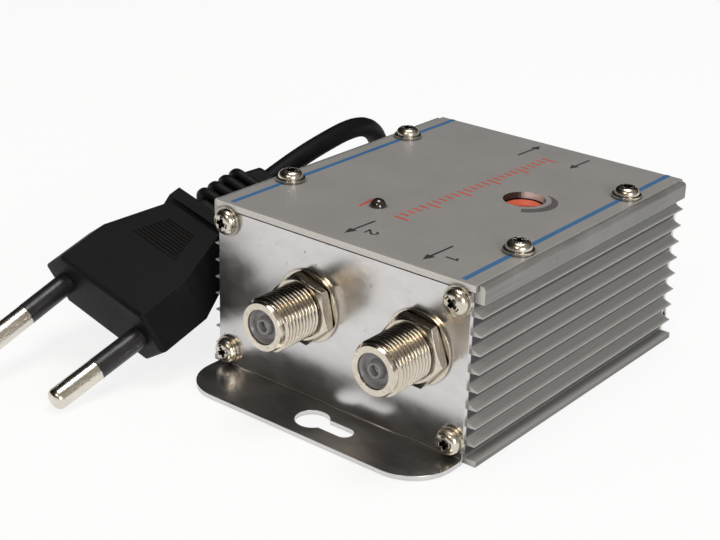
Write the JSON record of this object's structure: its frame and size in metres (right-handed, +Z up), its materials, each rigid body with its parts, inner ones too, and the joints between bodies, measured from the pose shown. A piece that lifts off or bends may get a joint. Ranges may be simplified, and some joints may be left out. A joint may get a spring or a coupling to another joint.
{
  "type": "tv signal amplifier",
  "caption": "Small aerial signal amplifier in a finned aluminium box with threaded coaxial connectors, flanged end plates and a two-pin mains cord.",
  "frame": {"origin": "middle of the box's underside, level with the flanges", "axes": "+Z up through the cover, -Y out of the two outputs, +Y out of the input"},
  "size_m": [0.0982, 0.1548, 0.0335],
  "materials": {
    "housing_aluminium": "satin extruded aluminium",
    "cover_paint": "grey satin paint",
    "plate_nickel": "bright nickel-plated steel sheet",
    "screw_nickel": "bright nickel plate",
    "connector_nickel": "nickel plate over brass",
    "contact_brass": "spring brass",
    "insulator_plastic": "milky moulded plastic",
    "led_lens": "dark tinted lens",
    "tinned_wire": "tinned wire",
    "trimmer_plastic": "moulded plastic",
    "rotor_plastic": "red-orange moulded plastic",
    "insulating_sheet": "pressed insulating sheet",
    "core_steel": "varnished laminations",
    "bobbin_nylon": "moulded nylon",
    "winding_copper": "enamelled copper wire",
    "capacitor_sleeve": "shrunk sleeve over an aluminium can",
    "component_black": "moulded epoxy",
    "resistor_beige": "lacquer",
    "ferrite": "sintered ferrite",
    "ceramic_orange": "dipped ceramic disc",
    "tin_plate": "tin plate",
    "black_rubber": "moulded rubber",
    "cord_pvc": "satin black cord sheath",
    "core_insulation": "wire insulation",
    "board_laminate": "paper laminate board",
    "plug_plastic": "fine-textured black moulding",
    "relief_pvc": "satin black moulding",
    "pin_nickel": "bright nickel plate",
    "sleeve_plastic": "black insulating sleeve"
  },
  "bodies": {
    "amplifier": {"ceramic_capacitors": "ceramic_orange", "circuit_board": "board_laminate", "cord_strain_relief": "black_rubber", "cover_screws": "screw_nickel", "front_end_plate": "plate_nickel", "front_plate_screws": "screw_nickel", "gain_trimmer_body": "trimmer_plastic", "housing": "housing_aluminium", "input_connector_body": "connector_nickel", "input_contact": "contact_brass", "input_insulator": "insulator_plastic", "input_nut": "connector_nickel", "input_washer": "connector_nickel", "insulating_sheet": "insulating_sheet", "led_leads": "tinned_wire", "mains_cord_arch": "cord_pvc", "mains_cord_coil": "cord_pvc", "mains_cord_inner_end": "cord_pvc", "mains_cord_lead": "cord_pvc", "mains_cores": "core_insulation", "output_1_connector_body": "connector_nickel", "output_1_contact": "contact_brass", "output_1_insulator": "insulator_plastic", "output_1_nut": "connector_nickel", "output_1_washer": "connector_nickel", "output_2_connector_body": "connector_nickel", "output_2_contact": "contact_brass", "output_2_insulator": "insulator_plastic", "output_2_nut": "connector_nickel", "output_2_washer": "connector_nickel", "plug_body": "plug_plastic", "plug_pin_sleeves": "sleeve_plastic", "plug_pins": "pin_nickel", "plug_strain_relief": "relief_pvc", "power_led": "led_lens", "rear_end_plate": "plate_nickel", "rear_plate_screws": "screw_nickel", "rectifier_diodes": "component_black", "resistors": "resistor_beige", "rf_transistors": "component_black", "shield_wall": "tin_plate", "smoothing_capacitor": "capacitor_sleeve", "splitter_core": "ferrite", "splitter_links": "winding_copper", "top_cover": "cover_paint", "transformer_bobbin": "bobbin_nylon", "transformer_core": "core_steel", "transformer_pins": "tinned_wire", "transformer_winding": "winding_copper", "voltage_regulator": "component_black"},
    "gain_rotor": {"gain_rotor": "rotor_plastic"}
  },
  "joints": [
    {"name": "gain_turn", "type": "hinge", "parent": "amplifier", "child": "gain_rotor", "pos_m": [0.01175, 0.0038, 0.02], "axis": [0, 0, 1], "range_deg": [-135, 135]}
  ]
}
